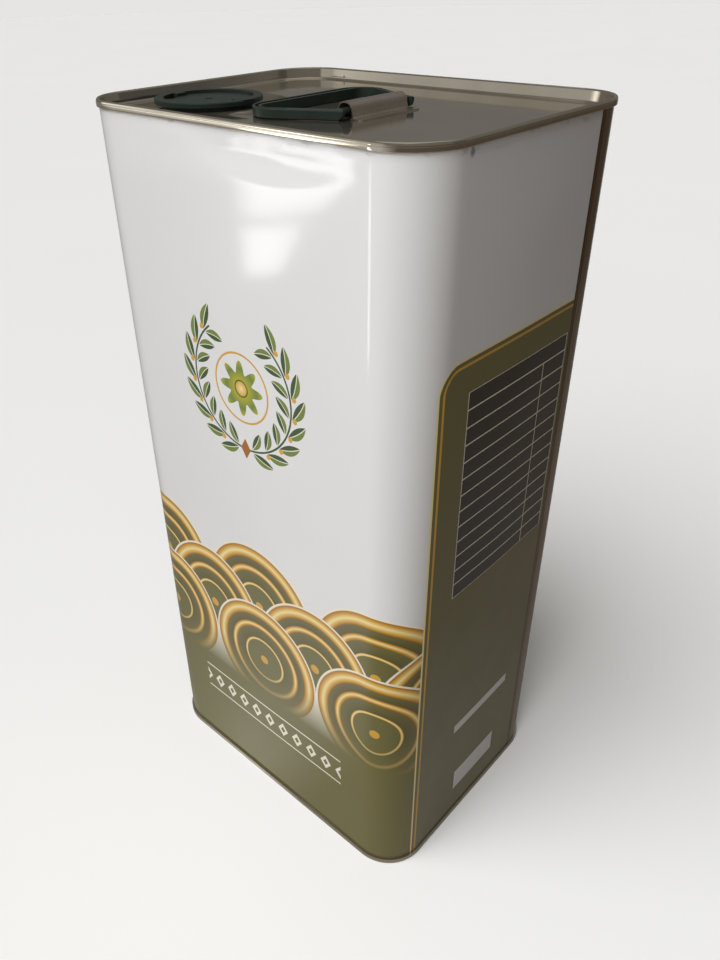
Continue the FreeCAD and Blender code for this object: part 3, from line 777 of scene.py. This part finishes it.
def body_sheet():
    """The printed sheet as one closed band, with its length and height as the map of the print."""
    stops = wall_stops()
    next_stops = stops[1:] + [stops[0] + PERIMETER]
    finer = BODY_TOP - FINE_DROP
    heights = [
        *np.linspace(HIDDEN_EDGE, finer, round((finer - HIDDEN_EDGE) / ROW_STEP), endpoint=False),
        *np.linspace(finer, BODY_TOP - HIDDEN_EDGE, round((FINE_DROP - HIDDEN_EDGE) / FINE_STEP))]
    build = bmesh.new()
    rows = []
    for height in heights:
        row = []
        for along in stops:
            place, outward = wall_point(along)
            relief = swell_relief(along, height) + front_relief(along, height) + lap_relief(along, height)
            place = place + outward * relief
            row.append(build.verts.new((place.x, place.y, height)))
        rows.append(row)
    print_map = build.loops.layers.uv.new("OFBake")
    for low, high, low_row, high_row in zip(heights, heights[1:], rows, rows[1:]):
        for start, end, face in zip(stops, next_stops, band(build, low_row, high_row)):
            corners = ((start, low), (end, low), (end, high), (start, high))
            for loop, (along, height) in zip(face.loops, corners):
                loop[print_map].uv = (along / PERIMETER + MAP_MIDDLE, height / BODY_TOP)
    sheet = sheet_piece("body_sheet", build, PRINTED_TIN)
    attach(sheet, "tin")
    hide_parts("body_shell")


body_sheet()


# Lid

def curve(middle, reach, start, end, steps):
    """Points on an arc of an ellipse in the seam's profile, with angles in degrees from outward to up."""
    for step in range(steps + 1):
        angle = math.radians(start + (end - start) * step / steps)
        yield middle[0] + reach[0] * math.cos(angle), middle[1] - reach[1] * math.sin(angle)


def lid_profile():
    """The lid's edge, as places outward from the body wall and down from the crest, in millimetres."""
    over = SEAM_OVERHANG / MM
    foot = SEAM_HEIGHT / MM
    points = [(SEAM_FOOT_CLEAR, foot)]
    points += curve((over - SEAM_FOOT_ROUND, foot - SEAM_FOOT_ROUND), (SEAM_FOOT_ROUND, SEAM_FOOT_ROUND),
                    -90, 0, SEAM_FOOT_STEPS)
    points += [(over - inward, SEAM_LINE + down) for inward, down in SEAM_SHOULDER]
    points += curve((SEAM_CREST, SEAM_LINE), (over - SEAM_SHOULDER_IN - SEAM_CREST, SEAM_LINE),
                    0, 90, SEAM_CREST_STEPS)
    inner_crest = curve((SEAM_CREST, CHUCK_ROUND), (SEAM_CREST - CHUCK_TOP, CHUCK_ROUND),
                        90, 180, CHUCK_STEPS)
    points += list(inner_crest)[1:]
    chuck_drop = LID_DEPTH - SINK_ROUND - CHUCK_ROUND
    points += [(CHUCK_TOP + (CHUCK_FOOT - CHUCK_TOP) * share, CHUCK_ROUND + chuck_drop * share)
               for share in CHUCK_SHARES]
    sink = CHUCK_FOOT - SINK_ROUND
    points += curve((sink, LID_DEPTH - SINK_ROUND), (SINK_ROUND, SINK_ROUND), 0, -90, SINK_STEPS)
    return points + [(sink - SINK_FLAT, LID_DEPTH), (-PANEL_INSET, LID_DEPTH)]


def neck_point(spot, middle, radius):
    """The place on a circle round the closure's axis, in the direction of a point of the lid's edge."""
    away = Vector((spot.x - middle.x, spot.y - middle.y)).normalized()
    return middle.x + away.x * radius * MM, middle.y + away.y * radius * MM


def lid():
    """The lid in one sheet: double seam, chuck wall, sunk panel and the neck round the pouring hole."""
    stops = wall_stops()
    build = bmesh.new()
    rings = []
    for out, drop in lid_profile():
        ring = []
        for along in stops:
            place, outward = wall_point(along)
            place = place + outward * (out * MM)
            ring.append(build.verts.new((place.x, place.y, BODY_TOP - drop * MM)))
        rings.append(ring)
    collar_low, collar_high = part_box("spout_collar")
    middle = (collar_low + collar_high) / 2
    panel = BODY_TOP - LID_DEPTH * MM
    edge = [vert.co.copy() for vert in rings[-1]]
    neck_foot = [Vector((*neck_point(spot, middle, NECK_FOOT), panel)) for spot in edge]
    for share in PANEL_SHARES:
        rings.append([build.verts.new(spot.lerp(foot, share)) for spot, foot in zip(edge, neck_foot)])
    for radius, rise in ((NECK_FOOT, 0.0), (NECK_OUT, NECK_FOOT - NECK_OUT), (NECK_OUT, NECK_RISE)):
        level = panel + rise * MM
        rings.append([build.verts.new((*neck_point(spot, middle, radius), level)) for spot in edge])
    for lower, upper in zip(rings, rings[1:]):
        band(build, lower, upper)
    sheet = sheet_piece("lid", build, BARE_TIN)
    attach(sheet, "tin")
    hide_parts("top_end")


lid()


# Stage: a floor and a round wall that only the camera sees
FLOOR_HALF = 30.0
FLOOR_COLOURS = (colour(244, 243, 241), colour(247, 246, 244))
FLOOR_CLOUDS = 3.0
WALL_RADIUS = 8.0
WALL_HEIGHT = 8.0
WALL_PARTS = 48
WALL_LIGHT = 0.84
WALL_COLOURS = (colour(246, 245, 243), colour(250, 249, 247))
WALL_CLOUDS = 0.2
MATTE = {"Roughness": 0.9, "Specular_IOR_Level": 0.1}

# Ground of the room that the tin mirrors, hidden from the camera. Angles are seen from above, turned
# from the right wall's side towards the back: one sector is shaded, darker with distance, one is dim
ROOM_LEVEL = -0.5 * MM
SHADE_MIDDLE = math.radians(8)
SHADE_HALF = math.radians(94)
SHADE_SOFT = math.radians(14)
SHADE_NEAR = 0.10
SHADE_FAR = 1.0
SHADE_COLOURS = ((0.0, colour(156, 151, 145)), (0.10, colour(134, 128, 121)),
                 (0.35, colour(116, 108, 99)), (1.0, colour(88, 76, 64)))
DIM_MIDDLE = math.radians(-182)
DIM_HALF = math.radians(50)
DIM_SOFT = math.radians(16)
DIM_COLOUR = colour(140, 137, 133)
LIT_COLOUR = colour(214, 212, 209)

# Lamps
SUN_AZIMUTH = math.radians(-9)
SUN_HEIGHT = math.radians(54)
SUN_POWER = 2.95
SUN_SPREAD = math.radians(54)
SUN_COLOUR = (0.97, 0.985, 1.0)
FILL_PLACE = (0.24, -0.28, 0.40)
FILL_TARGET = (0.06, -0.05, 0.25)
FILL_POWER = 0.29
FILL_SIZE = 0.25
BACK_FILL_PLACE = (-0.80, 1.35, 0.95)
BACK_FILL_TARGET = (0, 0, 0.18)
BACK_FILL_POWER = 6.5
BACK_FILL_SIZE = 1.0
WORLD_COLOUR = (0.98, 0.93, 0.87, 1.0)
WORLD_STRENGTH = 0.16

# Cards
FELT_COLOURS = (colour(86, 76, 68), colour(80, 71, 63))
FELT_WEAVE = 4.0
CEILING_HALF = 0.8
CEILING_HEIGHT = 1.6


QUAD = [(0, 1, 2, 3)]


def stage_piece(name, corners, faces, material):
    """A flat-sided piece of the stage."""
    mesh = bpy.data.meshes.new(name)
    mesh.from_pydata(corners, [], faces)
    mesh.materials.append(material)
    thing = put(name, mesh)
    return thing


def level_square(half, level):
    """The corners of a level square over the tin's middle."""
    return [(-half, -half, level), (half, -half, level), (half, half, level), (-half, half, level)]


def stage_wall(name, radius, height, material):
    """A round wall that closes the view above the floor."""
    turns = [2 * math.pi * part / WALL_PARTS for part in range(WALL_PARTS)]
    ring = [(radius * math.cos(turn), radius * math.sin(turn)) for turn in turns]
    corners = [(*spot, level) for level in (0.0, height) for spot in ring]
    faces = []
    for part in range(WALL_PARTS):
        after = (part + 1) % WALL_PARTS
        faces.append((part, after, after + WALL_PARTS, part + WALL_PARTS))
    return stage_piece(name, corners, faces, material)


def wall_material():
    """Evenly lit pale paper."""
    paint = Paint("backdrop_paper")
    paper = paint.mix(paint.noise(paint.place(), WALL_CLOUDS), *WALL_COLOURS)
    paint.show(paint.emission(paper, WALL_LIGHT))
    return paint.material


def cloudy(name, clouds, colours):
    """A matte surface whose colour drifts between two that are close."""
    paint = Paint(name)
    paint.set(Base_Color=paint.mix(paint.noise(paint.place(), clouds), *colours), **MATTE)
    return paint.material


def sector(paint, turn, half, soft):
    """A mask of the directions within half an angle of nought, with a soft edge."""
    beside = paint.magnitude(paint.wrapped(turn, 2 * math.pi))
    return paint.range(beside, half - soft, half + soft, 1.0, 0.0)


def room_material():
    """The mirrored room, laid out on the ground: lit in front, dim to the left, and shaded to the
    right and behind."""
    paint = Paint("room_floor")
    at = paint.split(paint.place())
    turn = paint.sub(paint.math("ARCTAN2", at[1], at[0]), SHADE_MIDDLE)
    shaded = sector(paint, turn, SHADE_HALF, SHADE_SOFT)
    far = paint.range(paint.length(at[0], at[1]), SHADE_NEAR, SHADE_FAR)
    shade = paint.ramp(far, *SHADE_COLOURS)
    dim = sector(paint, paint.sub(turn, DIM_MIDDLE - SHADE_MIDDLE), DIM_HALF, DIM_SOFT)
    lit = paint.mix(dim, LIT_COLOUR, DIM_COLOUR)
    paint.set(Base_Color=paint.mix(shaded, lit, shade), **MATTE)
    return paint.material


FLOOR_PAPER = cloudy("pale_floor", FLOOR_CLOUDS, FLOOR_COLOURS)
floor = stage_piece("pale_floor", level_square(FLOOR_HALF, 0.0), QUAD, FLOOR_PAPER)
backdrop = stage_wall("backdrop", WALL_RADIUS, WALL_HEIGHT, wall_material())
for seen in (floor, backdrop):
    seen.visible_diffuse = seen.visible_glossy = seen.visible_shadow = False
room = stage_piece("room_floor", level_square(FLOOR_HALF, ROOM_LEVEL), QUAD, room_material())
room.visible_camera = False


# Light

def direction(azimuth, height):
    """The direction at an angle from the front towards the right, and a height over the floor."""
    level = math.cos(height)
    return Vector((math.sin(azimuth) * level, -math.cos(azimuth) * level, math.sin(height)))


def lamp(name, kind, place, target, power, **settings):
    """A lamp that isn't mirrored."""
    light = bpy.data.lights.new(name, kind)
    light.energy = power
    for key, value in settings.items():
        setattr(light, key, value)
    thing = put(name, light)
    thing.location = place
    thing.rotation_euler = (Vector(target) - Vector(place)).to_track_quat("-Z", "Y").to_euler()
    thing.visible_glossy = False
    return thing


lamp("key", "SUN", direction(SUN_AZIMUTH, SUN_HEIGHT), (0, 0, 0), SUN_POWER,
     angle=SUN_SPREAD, color=SUN_COLOUR)
lamp("fill", "AREA", FILL_PLACE, FILL_TARGET, FILL_POWER, size=FILL_SIZE)
back_fill = lamp("back_fill", "AREA", BACK_FILL_PLACE, BACK_FILL_TARGET, BACK_FILL_POWER,
                 size=BACK_FILL_SIZE)

# The lamp behind doesn't light the ground
unlit = bpy.data.collections.new("not_lit_from_behind")
back_fill.light_linking.receiver_collection = unlit
for ground in (floor, room):
    unlit.objects.link(ground)
for member in unlit.collection_objects:
    member.light_linking.link_state = "EXCLUDE"

world = bpy.data.worlds.new("studio")
bpy.context.scene.world = world
world.use_nodes = True
sky_light = world.node_tree.nodes["Background"]
sky_light.inputs["Color"].default_value = WORLD_COLOUR
sky_light.inputs["Strength"].default_value = WORLD_STRENGTH


# Cards out of the camera's sight: a dark one that keeps light off the right wall, and glowing ones
# that only gloss shows

def card(name, corners, material):
    """A card that the camera doesn't see and that casts no shadow."""
    thing = stage_piece(name, corners, QUAD, material)
    thing.visible_camera = False
    thing.visible_shadow = False
    return thing


def upright(left, right, low, high):
    """The corners of an upright card over two places on the ground."""
    return [(*left, low), (*right, low), (*right, high), (*left, high)]


def glow(name, strength, side_fade, rise):
    """A lit screen that fades out towards its sides, and whose light follows stops up its height."""
    paint = Paint(name)
    at = paint.split(paint.coordinate("Generated"))
    inward = paint.sub(0.5, paint.magnitude(paint.sub(at[0], 0.5)))
    sides = paint.range(inward, 0.0, side_fade)
    lit = paint.ramp(at[2], *((place, (level, level, level, 1.0)) for place, level in rise))
    blend = paint.node("ShaderNodeMixShader")
    paint.feed(blend.inputs[0], sides)
    paint.feed(blend.inputs[1], paint.node("ShaderNodeBsdfTransparent").outputs[0])
    paint.feed(blend.inputs[2], paint.emission(lit, strength))
    paint.show(blend.outputs[0])
    return paint.material


EVEN = ((0.0, 1.0), (1.0, 1.0))
FROM_BELOW = ((0.0, 0.2), (0.2, 1.0), (1.0, 1.0))
PANE_GLOW = glow("pane_glow", strength=5.6, side_fade=0.22,
                 rise=((0.0, 0.15), (0.15, 0.9), (0.8, 1.0), (1.0, 0.5)))
WINDOW_GLOW = glow("window_glow", strength=3.6, side_fade=0.43,
                   rise=((0.0, 0.2), (0.2, 0.3), (0.52, 0.32), (0.62, 1.0), (0.88, 1.0), (0.97, 0.15)))
SKY_LEFT_GLOW = glow("sky_left_glow", strength=1.7, side_fade=0.45,
                     rise=((0.0, 0.6), (0.2, 1.0), (0.7, 0.8), (1.0, 0.2)))
SKY_GLOW = glow("sky_glow", strength=0.5, side_fade=0.15,
                rise=((0.0, 0.7), (0.2, 1.0), (0.45, 1.0), (0.8, 0.7), (1.0, 0.2)))
SHADE_GLOW = glow("shade_glow", strength=0.085, side_fade=0.20, rise=EVEN)
SKY_BACK_GLOW = glow("sky_back_glow", strength=0.24, side_fade=0.25, rise=FROM_BELOW)
SKY_RIGHT_GLOW = glow("sky_right_glow", strength=0.30, side_fade=0.25, rise=FROM_BELOW)
CEILING_GLOW = glow("ceiling_glow", strength=0.5, side_fade=0.25, rise=EVEN)

FLAG = upright(left=(0.26, -0.08), right=(0.26, 0.70), low=0.08, high=0.70)
WINDOW = upright(left=(-0.60, -0.355), right=(-0.25, -0.57), low=0.17, high=0.30)
PANE_LOW = [(-0.444, -0.451, 0.068), (-0.402, -0.477, 0.072),
            (-0.376, -0.492, 0.131), (-0.450, -0.447, 0.129)]
PANE_HIGH = [(-0.452, -0.446, 0.133), (-0.368, -0.497, 0.137),
             (-0.336, -0.517, 0.198), (-0.448, -0.448, 0.190)]
DOOR = upright(left=(-0.120, -0.302), right=(-0.098, -0.3135), low=0.10, high=0.245)
SKY_LEFT = upright(left=(-0.75, -0.20), right=(-0.44, -0.475), low=0.31, high=0.60)
SKY = upright(left=(-0.60, -0.48), right=(0.02, -0.86), low=0.26, high=0.80)
BACK_SHADE = upright(left=(1.05, 0.25), right=(0.74, 0.80), low=0.37, high=0.75)
SKY_BACK = upright(left=(-0.90, 0.35), right=(0.25, 1.05), low=0.72, high=1.70)
SKY_RIGHT = upright(left=(0.25, 1.05), right=(0.95, 0.20), low=0.86, high=1.70)
CEILING = level_square(CEILING_HALF, CEILING_HEIGHT)

card("right_flag", FLAG, cloudy("dark_felt", FELT_WEAVE, FELT_COLOURS)).visible_glossy = False
for name, corners, material in (
        ("window", WINDOW, WINDOW_GLOW), ("pane_low", PANE_LOW, PANE_GLOW),
        ("pane_high", PANE_HIGH, PANE_GLOW), ("door", DOOR, PANE_GLOW),
        ("sky_left", SKY_LEFT, SKY_LEFT_GLOW), ("sky", SKY, SKY_GLOW),
        ("back_shade", BACK_SHADE, SHADE_GLOW), ("sky_back", SKY_BACK, SKY_BACK_GLOW),
        ("sky_right", SKY_RIGHT, SKY_RIGHT_GLOW), ("ceiling", CEILING, CEILING_GLOW)):
    card(name, corners, material).visible_diffuse = False


# Camera
back = direction(CAMERA_AZIMUTH, CAMERA_DROP)
level_right = (-back).cross(Vector((0, 0, 1))).normalized()
level_up = level_right.cross(-back)
right = level_right * math.cos(CAMERA_ROLL) + level_up * math.sin(CAMERA_ROLL)
up = level_up * math.cos(CAMERA_ROLL) - level_right * math.sin(CAMERA_ROLL)
lens = bpy.data.cameras.new("camera")
lens.sensor_width = SENSOR
lens.lens = FOCAL_PIXELS / IMAGE_LONG_SIDE * SENSOR
lens.shift_x = (IMAGE_MIDDLE[0] - PRINCIPAL_POINT[0]) / IMAGE_LONG_SIDE
lens.shift_y = (PRINCIPAL_POINT[1] - IMAGE_MIDDLE[1]) / IMAGE_LONG_SIDE
lens.clip_start = CAMERA_CLIP
camera = put("camera", lens)
camera.matrix_world = Matrix.Translation(CAMERA_PLACE) @ Matrix((right, up, back)).transposed().to_4x4()
bpy.context.scene.camera = camera
bpy.context.scene.view_settings.view_transform = "Standard"
